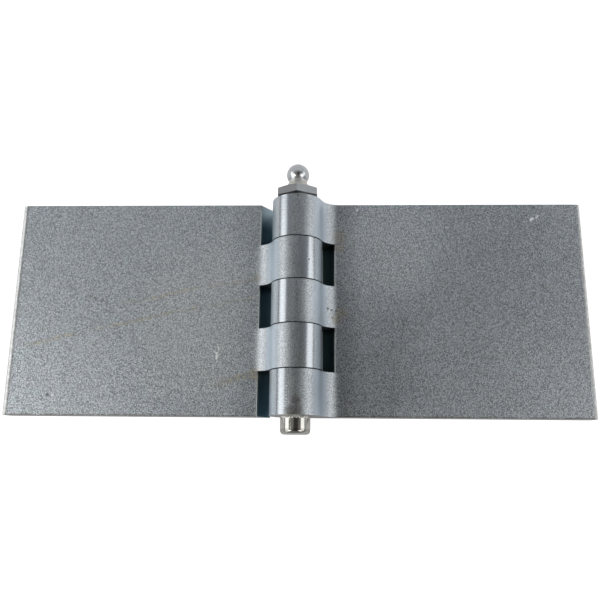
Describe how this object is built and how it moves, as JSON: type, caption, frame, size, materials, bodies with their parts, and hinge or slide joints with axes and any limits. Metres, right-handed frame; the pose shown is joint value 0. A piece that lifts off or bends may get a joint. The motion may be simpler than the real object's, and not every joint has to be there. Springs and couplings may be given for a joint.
{
  "type": "trailer door hinge",
  "caption": "Weld-on steel trailer door hinge: flat-backed leaves with interleaved knuckles turning on a knurled pin, greased through a nipple in the top knuckle.",
  "frame": {"origin": "on the mounting plane of the leaves' backs, under the pin axis, halfway along the leaves", "axes": "+X across the leaves towards the frame leaf, +Y along the pin towards the grease nipple, +Z out of the leaves' fronts"},
  "size_m": [0.16, 0.076, 0.014],
  "materials": {
    "plated_leaf": "zinc plated over a grainy rolled surface",
    "bright_pin": "turned and polished, plated",
    "plated_nipple": "turned, zinc plated",
    "hardened_ball": "polished",
    "spring_wire": "drawn wire"
  },
  "bodies": {
    "frame": {"frame_leaf": "plated_leaf", "hinge_pin": "bright_pin", "grease_nipple": "plated_nipple", "valve_spring": "spring_wire"},
    "door": {"door_leaf": "plated_leaf"},
    "valve_ball": {"check_ball": "hardened_ball"}
  },
  "joints": [
    {"name": "leaf_hinge", "type": "hinge", "parent": "frame", "child": "door", "pos_m": [0, 0, 0.007], "axis": [0, 1, 0], "range_deg": [-90, 180]},
    {"name": "ball_travel", "type": "slide", "parent": "frame", "child": "valve_ball", "axis": [0, -1, 0], "range_m": [0, 0.0008], "stiffness_N_per_m": 40, "springref_m": -0.001, "deforming": ["valve_spring"]}
  ]
}
